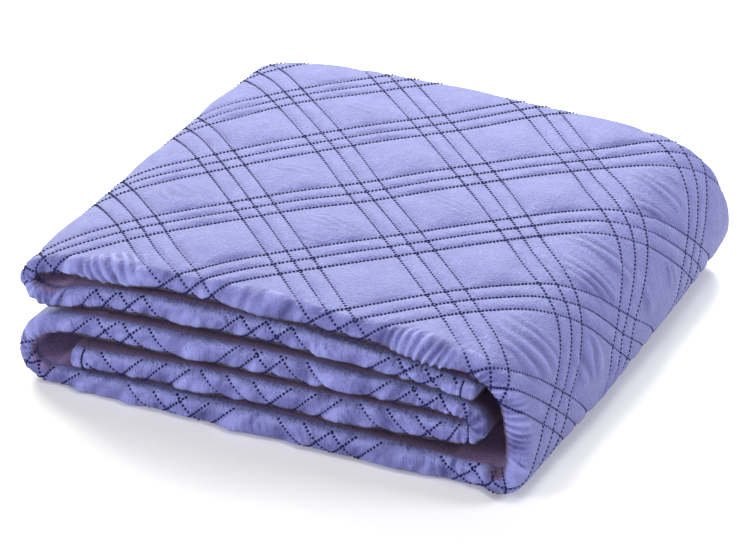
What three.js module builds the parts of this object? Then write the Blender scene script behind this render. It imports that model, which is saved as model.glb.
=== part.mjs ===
import * as THREE from "three";

// Quilting lattice, mm: diamonds with their diagonals along and across the folds
const repeat = 130;
const cells = 12;
const cell = repeat / cells;
const bandCells = 2;
const puffHigh = 4;
const bandShare = 0.4;
const puffPower = 0.7;

// Where the lattice sits on the top layer, in repeats
const latticeX = 1.115;
const latticeY = -1.9;

// Folded stack, mm: front and back edges, droop of the back, height taken as touching the ground
const frontEdge = -201.5;
const backEdge = 201.5;
const backDroop = 0.036;
const seatHeight = 0.4;

// Four plies share a layer's thickness with three narrow gaps, as shares of the half thickness
const plies = 4;
const gapShare = 0.09;
const plyShare = (2 - (plies - 1) * gapShare) / plies;
const innerShare = plyShare + gapShare / 2;
const hemStepOuter = 2;
const hemStepInner = 5;

// Facets round the folds, and how many columns the hidden plies skip
const foldFacets = 5;
const backFacets = 4;
const tightFacets = 2;
const straightSkip = 4;
const bendSkip = 2;

// Straight runs of the folded line, one row per layer from bottom to top
// Heights, half thicknesses, reach of the front edge and swell of the back edge stand at four even places
const runs = {
  fifth: {
    left: -189, right: 158,
    z: [7, 9.2, 10, 10], half: [7, 9.2, 10, 10], reach: [1, 4, 3, -2], swell: [0, 0.5, 0.5, 0],
  },
  fourth: {
    left: -177.5, right: 124,
    z: [25.5, 32, 36, 41], half: [8.5, 9.6, 10, 9], reach: [0, 0, 0, 0], swell: [0.2, 1.1, 1.4, 1.5],
  },
  third: {
    left: -163, right: 122,
    z: [55.5, 59.5, 62.5, 64.3], half: [9.2, 10, 9.5, 7.4], reach: [0, 0, 0, 0], swell: [2.5, 2.4, 1.4, 0.2],
  },
  second: {
    left: -158, right: 155,
    z: [82.5, 88, 88, 80], half: [8.3, 9, 8.5, 6.8], reach: [0, 0, 0, 0], swell: [2.5, 1.8, 1.1, 0.2],
  },
  first: {
    left: -171, right: 134.5,
    z: [107, 112.8, 110.5, 104.5], half: [8.5, 9.5, 9.5, 9], reach: [0, 0, 0, 0], swell: [2, 0.5, 0.5, 1],
  },
};

// Bends of the folded line, one row per point
// Columns: along the front, height, half thickness, flare of the back edge, reach of the front edge,
// and where there is one the swell of the back edge
const flareColumn = 3;
const reachColumn = 4;
const swellColumn = 5;
const bends = {
  innerRight: [
    [144.5, 43, 8, 0, 0],
    [154, 46.8, 7.5, 0, 0],
    [158, 53.8, 7.5, 0, 0],
    [154, 60, 7.1, 0, 0],
    [144.5, 63.8, 6.9, 0, 0],
  ],
  lowerLip: [
    [-190, 53, 8, 0, 0],
    [-208, 45, 7.2, -3, 0],
    [-217.5, 29.5, 7, -4, 0],
    [-214.5, 13.5, 7, -3, 1],
    [-201, 7, 7, 0, 2],
  ],
  wrap: [
    [175, 11.8, 10, 8, 4],
    [185.5, 21, 9.6, 16, 5],
    [188, 36, 9, 21, 3],
    [186.5, 54, 9, 21, 0],
    [183, 71, 9, 18, 0],
    [175.5, 86, 9, 13, 0, 2.5],
    [160, 98.5, 9, 6, 0, 2.5],
  ],
  topLip: [
    [-193.5, 102.5, 7.5, -4, 0, 3],
    [-205.5, 97, 7, -5, 0, 4],
    [-212, 88.5, 6.5, -6, 0, 2.5],
    [-206.5, 80, 7, -5, 0],
    [-191, 76, 7.5, -3, 0],
  ],
};

// One run as rows in the order of travel
function runRows(run, travel) {
  const last = run.z.length - 1;
  const rows = run.z.map((z, i) => [
    THREE.MathUtils.lerp(run.left, run.right, i / last),
    z,
    run.half[i],
    0,
    run.reach[i],
    run.swell[i],
  ]);
  return travel === "right" ? rows : rows.reverse();
}

// Whole folded line from the hem inside the lower lip to the hem under the top layer
const sections = [
  { name: "fourth", rows: runRows(runs.fourth, "right") },
  { name: "innerRight", rows: bends.innerRight, tight: true },
  { name: "third", rows: runRows(runs.third, "left") },
  { name: "lowerLip", rows: bends.lowerLip, tight: true },
  { name: "fifth", rows: runRows(runs.fifth, "right") },
  { name: "wrap", rows: bends.wrap },
  { name: "first", rows: runRows(runs.first, "left") },
  { name: "topLip", rows: bends.topLip, tight: true },
  { name: "second", rows: runRows(runs.second, "right") },
];
const rows = sections.flatMap((section) => section.rows);
const line = new THREE.CatmullRomCurve3(
  rows.map(([x, z, half]) => new THREE.Vector3(x, half, z)),
  false,
  "centripetal",
);
const stepsPerRow = 20;
line.arcLengthDivisions = (rows.length - 1) * stepsPerRow;
const lengths = line.getLengths();
const fullLength = lengths[lengths.length - 1];

// Distance along the line at which each section begins and ends
let rowCount = 0;
for (const section of sections) {
  section.from = lengths[rowCount * stepsPerRow];
  rowCount += section.rows.length;
  section.to = lengths[(rowCount - 1) * stepsPerRow];
}
const sectionNamed = (name) => sections.find((section) => section.name === name);

// Place on the line: middle of the layer, outward direction, thickness, flare, reach and swell
function stationAt(distance) {
  const share = line.getUtoTmapping(distance / fullLength);
  const middle = line.getPoint(share);
  const travel = line.getTangent(share);
  const scale = 1 / Math.hypot(travel.x, travel.z);
  const place = share * (rows.length - 1);
  const row = Math.min(Math.floor(place), rows.length - 2);
  const read = (index, column) => rows[index][column] ?? 0;
  const mix = (column) => THREE.MathUtils.lerp(read(row, column), read(row + 1, column), place - row);
  return {
    distance,
    x: middle.x,
    z: middle.z,
    half: middle.y,
    outX: travel.z * scale,
    outZ: -travel.x * scale,
    flare: mix(flareColumn),
    reach: mix(reachColumn),
    swell: mix(swellColumn),
  };
}

// The lattice is tied to the middle of the top layer
const first = sectionNamed("first");
const tieDistance = (first.from + first.to) / 2;
const tieX = stationAt(tieDistance).x / repeat + latticeX;
const clothX = (distance) => tieX - (distance - tieDistance) / repeat;

// Soft cushion between stitched lines: full across a diamond, low across the narrow bands
function cushion(place) {
  const turn = THREE.MathUtils.euclideanModulo(place, cells);
  const inBand = turn < bandCells || turn > cells - bandCells;
  if (inBand) return bandShare * Math.sin((Math.PI * (turn % bandCells)) / bandCells);
  const across = (turn - bandCells) / (cells - 2 * bandCells);
  return Math.max(Math.sin(Math.PI * across), 0) ** puffPower;
}

// Rise of the quilted face over its stitched lines
function puff(acrossX, acrossY) {
  const rising = cells * (acrossX - acrossY);
  const falling = cells * (-acrossX - acrossY);
  return puffHigh * cushion(Math.round(rising)) * cushion(Math.round(falling));
}

// Columns across the strip: lattice cells, halved round the tight bends
const inside = (section, distance) => distance > section.from && distance < section.to;
const fineColumns = [];
const phase = THREE.MathUtils.euclideanModulo(clothX(0) * cells, 1) * cell;
for (let distance = phase - cell; distance < fullLength + cell; distance += cell / 2) {
  const whole = Math.round((distance - phase) / (cell / 2)) % 2 === 0;
  const tight = sections.some((section) => section.tight && inside(section, distance));
  const clearOfEnds = distance > cell / 2 && distance < fullLength - cell / 2;
  if (clearOfEnds && (whole || tight)) fineColumns.push({ distance });
}
fineColumns.unshift({ distance: 0, ends: true });
fineColumns.push({ distance: fullLength, ends: true });
const shownStretches = [
  sectionNamed("lowerLip"),
  { from: sectionNamed("wrap").from, to: sectionNamed("topLip").to },
];
for (const column of fineColumns) {
  column.station = stationAt(column.distance);
  column.shown = shownStretches.some((stretch) => inside(stretch, column.distance));
}

// Hidden plies keep only some of the columns, and those where the quilted face starts and stops
fineColumns.forEach((column, i) => {
  const section = sections.find((one) => inside(one, column.distance));
  const bent = section === undefined || section.rows === bends[section.name];
  const skip = bent ? bendSkip : straightSkip;
  const starts = column.shown !== fineColumns[i + 1]?.shown || column.shown !== fineColumns[i - 1]?.shown;
  column.kept = column.ends || starts || i % skip === 0;
});
const keptColumns = fineColumns.filter((column) => column.kept);

// Points of the solid
const points = [];
const along = [];
function addPoint(station, y, out) {
  const depth = THREE.MathUtils.clamp((y - frontEdge) / (backEdge - frontEdge), 0, 1);
  const widen = station.flare * (1 - (1 - depth) ** 2);
  const spread = out * (1 + (station.swell / station.half) * depth);
  const height = (station.z + station.outZ * spread) * (1 - backDroop * depth ** 2);
  points.push(station.x + station.outX * spread + widen, y, height < seatHeight ? 0 : height);
  along.push(station.distance);
  return along.length - 1;
}

// Half-round places of the section: front folds share one middle, the back fold joins the upper plies
const frontMiddle = (station) => frontEdge - station.reach + station.half;
const backMiddle = (station) => backEdge - innerShare * station.half;
const backHeight = (station) => (1 - innerShare) * station.half;

// A row of the section runs the whole strip: place gives its depth and its distance from the middle
function sectionRow(columns, place) {
  const ids = columns.map((column) => {
    const { y, out } = place(column.station, column);
    return addPoint(column.station, y, out);
  });
  const flat = [columns[0], columns.at(-1)].map((column) => place(column.station, column));
  return { ids, flat };
}

const frontFold = (share, angle) => (station) => ({
  y: frontMiddle(station) - share * station.half * Math.sin(angle),
  out: share * station.half * Math.cos(angle),
});
const backFold = (share, angle) => (station) => ({
  y: backMiddle(station) + share * station.half * Math.sin(angle),
  out: backHeight(station) + share * station.half * Math.cos(angle),
});
const hemEdge = (step, share) => (station) => ({ y: backEdge - step, out: share * station.half });

// The outer front fold carries the quilting round it
const quiltedFold = (angle) => (station, column) => {
  const arc = station.half * angle;
  const acrossY = (frontMiddle(station) - arc) / repeat + latticeY;
  const weight = column.shown && angle < Math.PI / 2 ? 1 : Math.sin(angle);
  const rise = column.ends ? 0 : weight * puff(clothX(station.distance), acrossY);
  const reachOut = station.half + rise;
  return {
    y: frontMiddle(station) - reachOut * Math.sin(angle),
    out: reachOut * Math.cos(angle),
  };
};

const foldAngles = (count) => Array.from({ length: count + 1 }, (unused, i) => (Math.PI * i) / count);
const outerFront = foldAngles(foldFacets)
  .reverse()
  .map((angle) => sectionRow(fineColumns, quiltedFold(angle)));
const backOuter = foldAngles(backFacets).map((angle) =>
  sectionRow(keptColumns, backFold(innerShare, angle)),
);
const plainRows = [
  ...foldAngles(tightFacets).map((angle) => frontFold(gapShare / 2, angle)),
  hemEdge(hemStepInner, -gapShare / 2),
  hemEdge(hemStepInner, -innerShare),
  ...foldAngles(backFacets).reverse().map((angle) => frontFold(innerShare, angle)),
  ...foldAngles(tightFacets).reverse().map((angle) => backFold(gapShare / 2, angle)),
  ...foldAngles(backFacets).map((angle) => frontFold(1 - plyShare, angle)),
  hemEdge(hemStepOuter, plyShare - 1),
  hemEdge(hemStepOuter, -1),
].map((place) => sectionRow(keptColumns, place));

// Quilted rows of the outer ply, only where the face is seen
const firstCell = Math.ceil((frontEdge / repeat + latticeY) * cells) + 1;
const lastCell = Math.floor((backEdge / repeat + latticeY) * cells) - 1;
const quiltedRows = [];
for (let row = firstCell; row <= lastCell; row += 1) {
  const acrossY = row / cells;
  const shown = fineColumns.filter((column) => column.shown);
  const place = (station) => ({
    y: (acrossY - latticeY) * repeat,
    out: station.half + puff(clothX(station.distance), acrossY),
  });
  quiltedRows.push({ ...sectionRow(shown, place), row });
}

const faces = [];

// Strip between two rows of points, joined in order of distance
function joinRows(lower, upper, direction = 1) {
  let i = 0;
  let j = 0;
  while (i < lower.length - 1 || j < upper.length - 1) {
    const nextLower = i < lower.length - 1 ? direction * along[lower[i + 1]] : Infinity;
    const nextUpper = j < upper.length - 1 ? direction * along[upper[j + 1]] : Infinity;
    const third = nextLower <= nextUpper ? lower[i + 1] : upper[j + 1];
    faces.push(direction > 0 ? [third, lower[i], upper[j]] : [lower[i], third, upper[j]]);
    if (nextLower <= nextUpper) i += 1;
    else j += 1;
  }
}

// Strip of quilted cells, each split along its stitched diagonal
function joinCells(lower, upper, firstRow) {
  for (let i = 0; i < lower.ids.length - 1; i += 1) {
    const [a, b, c, d] = [lower.ids[i], lower.ids[i + 1], upper.ids[i + 1], upper.ids[i]];
    const even = (Math.round(clothX(along[a]) * cells) + firstRow) % 2 === 0;
    if (even) faces.push([a, c, b], [a, d, c]);
    else faces.push([a, d, b], [b, d, c]);
  }
}

// Stretches of columns that are shown or hidden, both ends included
const idsBetween = (row, from, to) => row.ids.filter((id) => along[id] >= from && along[id] <= to);
const stretches = [];
let startOf = 0;
fineColumns.forEach((column, i) => {
  const next = fineColumns[i + 1];
  if (next && next.shown === column.shown) return;
  stretches.push({ shown: column.shown, from: startOf, to: column.distance });
  startOf = column.distance;
});
for (const [i, stretch] of stretches.entries()) {
  if (!stretch.shown && i < stretches.length - 1) {
    const next = fineColumns.find((column) => column.distance > stretch.to);
    stretch.to = next.distance;
    stretches[i + 1].from = next.distance;
  }
}

const foldTop = outerFront.at(-1);
const backStart = backOuter[0];
for (const { shown, from, to } of stretches) {
  const low = idsBetween(foldTop, from, to);
  const high = idsBetween(backStart, from, to);
  if (shown) {
    const face = quiltedRows.map((row) => ({ ids: idsBetween(row, from, to), row: row.row }));
    joinRows(low, face[0].ids);
    face.slice(1).forEach((upper, i) => joinCells(face[i], upper, face[i].row));
    joinRows(face.at(-1).ids, high);
  } else {
    const rise = (distance) => quiltedRows.flatMap((row) => idsBetween(row, distance, distance));
    const middle = low[Math.floor(low.length / 2)];
    const across = high.findIndex((id) => along[id] >= along[middle]);
    const split = low.findIndex((id) => along[id] >= along[high[across]]);
    const left = [...rise(from).reverse(), ...low.slice(0, split + 1)];
    const right = [...low.slice(split), ...rise(to)];
    joinRows(left.reverse(), high.slice(0, across + 1).reverse(), -1);
    joinRows(right, high.slice(across));
  }
}
outerFront.slice(1).forEach((row, i) => joinRows(outerFront[i].ids, row.ids));
const rest = [...backOuter, ...plainRows];
rest.slice(1).forEach((row, i) => joinRows(rest[i].ids, row.ids));
joinRows(plainRows.at(-1).ids, outerFront[0].ids);

// Cut ends of the strip
const loop = [...outerFront, ...rest];
[0, 1].forEach((end) => {
  const outline = loop.map((row) => new THREE.Vector2(row.flat[end].y, row.flat[end].out));
  const ids = loop.map((row) => (end === 0 ? row.ids[0] : row.ids.at(-1)));
  for (const [a, b, c] of THREE.ShapeUtils.triangulateShape(outline, [])) {
    faces.push(end === 0 ? [ids[a], ids[b], ids[c]] : [ids[a], ids[c], ids[b]]);
  }
});

const geometry = new THREE.BufferGeometry();
geometry.setAttribute("position", new THREE.Float32BufferAttribute(points, 3));
geometry.setIndex(faces.flat());
geometry.computeBoundingBox();
const box = geometry.boundingBox;
geometry.translate(-(box.min.x + box.max.x) / 2, -(box.min.y + box.max.y) / 2, -box.min.z);
geometry.computeVertexNormals();

const cloth = new THREE.MeshStandardMaterial({ color: 0x9a9cd6, roughness: 0.9, metalness: 0 });
const bedspread = new THREE.Mesh(geometry, cloth);
bedspread.name = "bedspread";

const part = new THREE.Group();
part.add(bedspread);

export default part;
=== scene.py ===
import math

import bpy
import numpy as np
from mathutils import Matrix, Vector


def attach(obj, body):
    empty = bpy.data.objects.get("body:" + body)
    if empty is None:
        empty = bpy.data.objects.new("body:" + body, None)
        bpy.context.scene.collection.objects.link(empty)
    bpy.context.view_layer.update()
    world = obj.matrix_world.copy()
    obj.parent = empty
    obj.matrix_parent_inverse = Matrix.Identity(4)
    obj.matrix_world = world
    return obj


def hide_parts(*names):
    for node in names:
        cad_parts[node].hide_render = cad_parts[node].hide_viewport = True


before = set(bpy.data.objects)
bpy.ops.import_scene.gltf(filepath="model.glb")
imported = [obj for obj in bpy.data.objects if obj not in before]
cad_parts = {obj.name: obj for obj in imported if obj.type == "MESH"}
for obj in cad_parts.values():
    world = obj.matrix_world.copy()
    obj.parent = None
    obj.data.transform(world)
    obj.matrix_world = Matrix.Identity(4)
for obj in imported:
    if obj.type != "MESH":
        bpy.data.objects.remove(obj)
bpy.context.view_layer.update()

mm = 0.001

# Camera at the photograph's viewing angle
view = {
    "place": (0.69834, -1.52504, 0.9685),  # m
    "azimuth": 24.84,                      # degrees round the stack
    "elevation": 28.98,                    # degrees above the floor
    "lens": 115.2,                         # mm
    "sensor": 36,                          # mm wide
    "farthest": 50,                        # m
}


def makeCamera():
    # Stands at its place and looks back along the direction that the two angles give
    turn, lift = math.radians(view["azimuth"]), math.radians(view["elevation"])
    back = Vector((math.sin(turn) * math.cos(lift), -math.cos(turn) * math.cos(lift), math.sin(lift)))
    camera = bpy.data.objects.new("camera", bpy.data.cameras.new("camera"))
    camera.data.lens = view["lens"]
    camera.data.sensor_width = view["sensor"]
    camera.data.clip_end = view["farthest"]
    camera.location = view["place"]
    camera.rotation_mode = "QUATERNION"
    camera.rotation_quaternion = (-back).to_track_quat("-Z", "Y")
    bpy.context.scene.collection.objects.link(camera)
    bpy.context.scene.camera = camera


makeCamera()

# The folded strip, mm: the same line, plies and lattice as the solid it stands for
folding = {
    "middle": (-4.638, -4.462),   # middle of the footprint in the line's own places
    "front": -201.5,
    "back": 201.5,
    "backDroop": 0.036,
    "gapShare": 0.09,             # gaps and plies as shares of half a layer's thickness
    "plyShare": 0.4325,
    "hemSteps": (2, 5),           # how far the two free hems stay inside the back edge
    "stepsPerRow": 20,
    "shownFade": 14,              # length over which the quilted face dies away into the stack
}

# One row per layer: reach of the front edge, heights, half thicknesses and swell of the back edge,
# each at four even places from the left
runs = {
    "fifth": {"left": -189, "right": 158, "reach": (1, 4, 3, -2), "z": (7, 9.2, 10, 10),
              "half": (7, 9.2, 10, 10), "swell": (0, 0.5, 0.5, 0)},
    "fourth": {"left": -177.5, "right": 124, "reach": (0, 0, 0, 0), "z": (25.5, 32, 36, 41),
               "half": (8.5, 9.6, 10, 9), "swell": (0.2, 1.1, 1.4, 1.5)},
    "third": {"left": -163, "right": 122, "reach": (0, 0, 0, 0), "z": (55.5, 59.5, 62.5, 64.3),
              "half": (9.2, 10, 9.5, 7.4), "swell": (2.5, 2.4, 1.4, 0.2)},
    "second": {"left": -158, "right": 155, "reach": (0, 0, 0, 0), "z": (82.5, 88, 88, 80),
               "half": (8.3, 9, 8.5, 6.8), "swell": (2.5, 1.8, 1.1, 0.2)},
    "first": {"left": -171, "right": 134.5, "reach": (0, 0, 0, 0), "z": (107, 112.8, 110.5, 104.5),
              "half": (8.5, 9.5, 9.5, 9), "swell": (2, 0.5, 0.5, 1)},
}

# One row per point: along the front, height, half thickness, flare of the back edge,
# reach of the front edge, swell of the back edge
bends = {
    "innerRight": ((144.5, 43, 8, 0, 0), (154, 46.8, 7.5, 0, 0), (158, 53.8, 7.5, 0, 0),
                   (154, 60, 7.1, 0, 0), (144.5, 63.8, 6.9, 0, 0)),
    "lowerLip": ((-190, 53, 8, 0, 0), (-208, 45, 7.2, -3, 0), (-217.5, 29.5, 7, -4, 0),
                 (-214.5, 13.5, 7, -3, 1), (-201, 7, 7, 0, 2)),
    "wrap": ((175, 11.8, 10, 8, 4), (185.5, 21, 9.6, 16, 5), (188, 36, 9, 21, 3), (186.5, 54, 9, 21, 0),
             (183, 71, 9, 18, 0), (175.5, 86, 9, 13, 0, 2.5), (160, 98.5, 9, 6, 0, 2.5)),
    "topLip": ((-193.5, 102.5, 7.5, -4, 0, 3), (-205.5, 97, 7, -5, 0, 4), (-212, 88.5, 6.5, -6, 0, 2.5),
               (-206.5, 80, 7, -5, 0), (-191, 76, 7.5, -3, 0)),
}

# The strip travels through these in turn
route = (("fourth", "right"), ("innerRight", "bend"), ("third", "left"), ("lowerLip", "bend"),
         ("fifth", "right"), ("wrap", "bend"), ("first", "left"), ("topLip", "bend"),
         ("second", "right"))


def routeRows(name, travel):
    # Rows x, z, half, flare, reach, swell in the order of travel
    if travel == "bend":
        return np.array([row + (0,) * (6 - len(row)) for row in bends[name]], float)
    run = runs[name]
    places = len(run["z"])
    x = np.linspace(run["left"], run["right"], places)
    rows = np.stack([x, run["z"], run["half"], np.zeros(places), run["reach"], run["swell"]], 1)
    return rows if travel == "right" else rows[::-1]


def foldedLine():
    # Centripetal curve: between two rows a cubic whose end slopes come from the neighbouring rows,
    # weighted by the square roots of their distances; distances are measured over x, half and z
    parts = [routeRows(*step) for step in route]
    rows = np.concatenate(parts)
    knots = rows[:, [0, 2, 1]]
    ends = np.vstack([2 * knots[0] - knots[1], knots, 2 * knots[-1] - knots[-2]])
    gap = np.sqrt(np.linalg.norm(np.diff(ends, axis=0), axis=1))[:, None]
    before, here, after, beyond = ends[:-3], ends[1:-2], ends[2:-1], ends[3:]
    gapIn, gapOn, gapOut = gap[:-2], gap[1:-1], gap[2:]
    stepIn, stepOn, stepOut = here - before, after - here, beyond - after
    leave = gapOn * (stepIn / gapIn - (after - before) / (gapIn + gapOn) + stepOn / gapOn)
    arrive = gapOn * (stepOn / gapOn - (beyond - here) / (gapOn + gapOut) + stepOut / gapOut)
    third = (2 * here - 2 * after + leave + arrive)[:, None]
    second = (3 * after - 3 * here - 2 * leave - arrive)[:, None]
    steps = folding["stepsPerRow"]
    t = (np.arange(steps) / steps)[None, :, None]
    points = third * t ** 3 + second * t ** 2 + leave[:, None] * t + here[:, None]
    points = np.vstack([points.reshape(-1, 3), knots[-1:]])
    s = np.concatenate([[0], np.cumsum(np.linalg.norm(np.diff(points, axis=0), axis=1))])
    place = np.arange(len(points)) / steps
    line = {"s": s, "x": points[:, 0], "half": points[:, 1], "z": points[:, 2]}
    line["alongX"], line["alongZ"] = np.gradient(points[:, 0], s), np.gradient(points[:, 2], s)
    for column, name in ((3, "flare"), (4, "reach"), (5, "swell")):
        line[name] = np.interp(place, np.arange(len(rows)), rows[:, column])
    scale = line["half"] / np.hypot(line["alongX"], line["alongZ"])
    outer = points[:, [0, 2]] + np.stack([line["alongZ"] * scale, -line["alongX"] * scale], 1)
    line["faceS"] = np.concatenate([[0], np.cumsum(np.linalg.norm(np.diff(outer, axis=0), axis=1))])
    spans, count = {}, 0
    for (name, travel), part in zip(route, parts):
        spans[name] = (s[count * steps], s[(count + len(part) - 1) * steps])
        count += len(part)
    return line, spans


# How far the quilting has drifted along and across the strip by the time it reaches these distances, mm
drift = {
    "s": (0, 194, 304, 377, 512, 637, 882, 1012, 1127, 1187, 1232, 1292, 1611, 1708, 1828, 1953),
    "along": (46, 42, 40, 21, 16, 13, 21, 15, 7, 15, 2, 0, 0, -14, -21, -30),
    "across": (31, 26, 23, 22, 21, 15, 12, 8, 5, -10, -1, 0, 0, -10, -10, -11),
}

line, spans = foldedLine()
line["faceS"] = line["faceS"] - np.interp(line["s"], drift["s"], drift["along"])
fullLength = line["s"][-1]


def station(s):
    # Line values at distance s, with the outward direction a quarter turn from the direction of travel
    found = {name: np.interp(s, line["s"], values) for name, values in line.items() if name != "s"}
    scale = 1 / np.hypot(found["alongX"], found["alongZ"])
    found["outX"], found["outZ"] = found["alongZ"] * scale, -found["alongX"] * scale
    found["frontMiddle"] = folding["front"] - found["reach"] + found["half"]
    found["inner"] = (folding["plyShare"] + folding["gapShare"] / 2) * found["half"]
    found["backMiddle"] = folding["back"] - found["inner"]
    return found


def place(at, y, out):
    # Depth from front to back widens the layer by its swell, moves it by its flare
    # and lowers it by the droop
    depth = np.clip((y - folding["front"]) / (folding["back"] - folding["front"]), 0, 1)
    spread = out * (1 + at["swell"] / at["half"] * depth)
    x = at["x"] + at["outX"] * spread + at["flare"] * (1 - (1 - depth) ** 2)
    z = np.maximum((at["z"] + at["outZ"] * spread) * (1 - folding["backDroop"] * depth ** 4), 0)
    return np.stack(np.broadcast_arrays(x - folding["middle"][0], y - folding["middle"][1], z), -1)


# Quilting: triple lines of a diamond lattice, in repeats of the lattice along and across the strip
quilting = {
    "repeat": 130,        # mm
    "offset": (1.115, -1.9),
    "cells": 12,          # to a repeat; a triple's outer lines lie bandCells from its middle one
    "bandCells": 2,
    "puffHigh": 4.3,      # mm in the middle of a diamond
    "bandShare": 0.4,
    "puffPower": 0.7,
    "skew": (1.4, 1.1),   # lean of a puff to the front, across the rising and the falling lines
    "grooveDeep": 0.65,   # mm
    "grooveWide": 2.2,    # mm
    "sink": 0.8,          # mm by which the stitched lines lie below the plain face
}
repeat = quilting["repeat"]
tieS = sum(spans["first"]) / 2
tieX = np.interp(tieS, line["s"], line["x"]) / repeat + quilting["offset"][0]
tieFace = np.interp(tieS, line["s"], line["faceS"])
cellWide = repeat / quilting["cells"] / math.sqrt(2)   # mm between lattice lines one cell apart


def smooth(low, high, value):
    # Soft step from 0 at low to 1 at high
    t = np.clip((value - low) / (high - low), 0, 1)
    return t * t * (3 - 2 * t)


def softNoise(x, y, size, seed):
    # Random heights between -1 and 1 on a square net of that size, joined by soft steps
    knots = 64
    table = np.random.default_rng(seed).uniform(-1, 1, (knots, knots))
    column, row = np.floor(x / size).astype(int), np.floor(y / size).astype(int)
    u, w = smooth(0, 1, x / size - column), smooth(0, 1, y / size - row)
    at = lambda i, j: table[(column + i) % knots, (row + j) % knots]
    return (at(0, 0) * (1 - u) + at(1, 0) * u) * (1 - w) + (at(0, 1) * (1 - u) + at(1, 1) * u) * w


# Where the cloth lies pulled out of square, mm: distance along, place across, width of the pull,
# and shift of the lines
tugs = (
    {"s": 1548, "v": 117, "wide": 55, "along": 6.5, "across": 6},
    {"s": 1483, "v": 190, "wide": 50, "along": 1.5, "across": 3},
    {"s": 1354, "v": 190, "wide": 55, "along": 4, "across": 11},
    {"s": 1548, "v": -143, "wide": 45, "along": 1.5, "across": 5},
    {"s": 1419, "v": -13, "wide": 55, "along": -2, "across": -5},
    {"s": 1230, "v": -10, "wide": 75, "along": 7, "across": -3},
    {"s": 1289, "v": -143, "wide": 45, "along": 2, "across": 3},
    {"s": 1483, "v": -208, "wide": 40, "along": -9, "across": 0},
    {"s": 1191, "v": -37, "wide": 50, "along": 0, "across": -12},
    {"s": 1235, "v": 190, "wide": 40, "along": 6, "across": 8},
)


def pulled(s, v):
    # Drift across the strip and the sum of the tugs, each a bell over its place
    along, across = 0, np.interp(s, drift["s"], drift["across"])
    for tug in tugs:
        bell = np.exp(-((s - tug["s"]) ** 2 + (v - tug["v"]) ** 2) / tug["wide"] ** 2)
        along, across = along + tug["along"] * bell, across + tug["across"] * bell
    return along, across


def lattice(s, v):
    # Cells across the rising and the falling lines at s along and v across, measured on the outer face
    along, across = pulled(s, v)
    cx = tieX - (np.interp(s, line["s"], line["faceS"]) - along - tieFace) / repeat
    cy = (v - across) / repeat + quilting["offset"][1]
    return quilting["cells"] * (cx - cy), quilting["cells"] * (-cx - cy)


def onLattice(rising, falling):
    # The reverse: where those cells lie, found by adding the pull a few times over
    cx, cy = (rising - falling) / (2 * quilting["cells"]), -(rising + falling) / (2 * quilting["cells"])
    plainFace, plainV = tieFace - (cx - tieX) * repeat, (cy - quilting["offset"][1]) * repeat
    s, v = np.interp(plainFace, line["faceS"], line["s"]), plainV
    for step in range(8):
        along, across = pulled(s, v)
        s, v = np.interp(plainFace + along, line["faceS"], line["s"]), plainV + across
    return s, v


def cushion(cell, skew):
    # Sine hump between stitched lines, leaning to the front: full across a diamond,
    # low across the two narrow bands
    band, cells = quilting["bandCells"], quilting["cells"]
    turn = np.mod(cell, cells)
    inBand = (turn < band) | (turn > cells - band)
    share = np.where(inBand, np.mod(turn, band) / band, (turn - band) / (cells - 2 * band))
    hump = np.clip(np.sin(math.pi * np.clip(share, 0, 1) ** skew), 0, 1) ** quilting["puffPower"]
    return np.where(inBand, quilting["bandShare"], 1) * hump


def fullness(rising, falling):
    # Product of the two families' humps
    return cushion(rising, quilting["skew"][0]) * cushion(falling, quilting["skew"][1])


def lineGap(cell):
    # Distance in mm to the nearest stitched line of one family
    band, cells = quilting["bandCells"], quilting["cells"]
    turn = np.mod(cell + cells / 2, cells) - cells / 2
    return np.abs(np.abs(np.abs(turn) - band / 2) - band / 2) * cellWide


# Unevenness of the cloth, mm: long waves, small puckers beside the stitches, pleats,
# and ripples and rumples round the front folds
wrinkles = {
    "waves": ((75, 0.8, 3), (34, 0.45, 4), (15, 0.16, 5)),   # size, height, seed
    "puckerHigh": 0.2,
    "puckerLong": 6.2,
    "puckerWide": 5.0,
    "puckerWander": (0.8, 21),       # share of a length, size
    "pleatWander": (0.4, 18, 31),    # share of a pitch, size, seed
    "pleatUneven": (0.5, 14, 32),    # share of the height, size, seed
    "pleatEnds": 0.7,                # power of the sine that fades a pleat towards its ends
    "pleatLevel": 0.4,               # share of the height at which a pleat is neither lit nor shaded
    "rippleHigh": 0.6,
    "rippleLong": 7.4,
    "rippleSlant": 0.5,
    "rippleWander": (0.7, 17, 21),   # share of a length, size, seed
    "ripplePatch": (0.6, 30, 22),    # share of the height, size, seed
    "rumples": ((13, 1.3, 41), (5.5, 1.1, 42)),              # size, height, seed
    "rumpleDrawn": 0.4,
    "creaseFull": 1.2,               # height over the middle at which a crease is fully lit
    "tautShare": 0.35,               # height left to the puffs on the bends and along the back edge
    "tautWide": 30,
    "clear": {"pleats": 3, "puckers": 1.5, "waves": 6, "rumples": 4},   # room beside a stitched line
}

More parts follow.
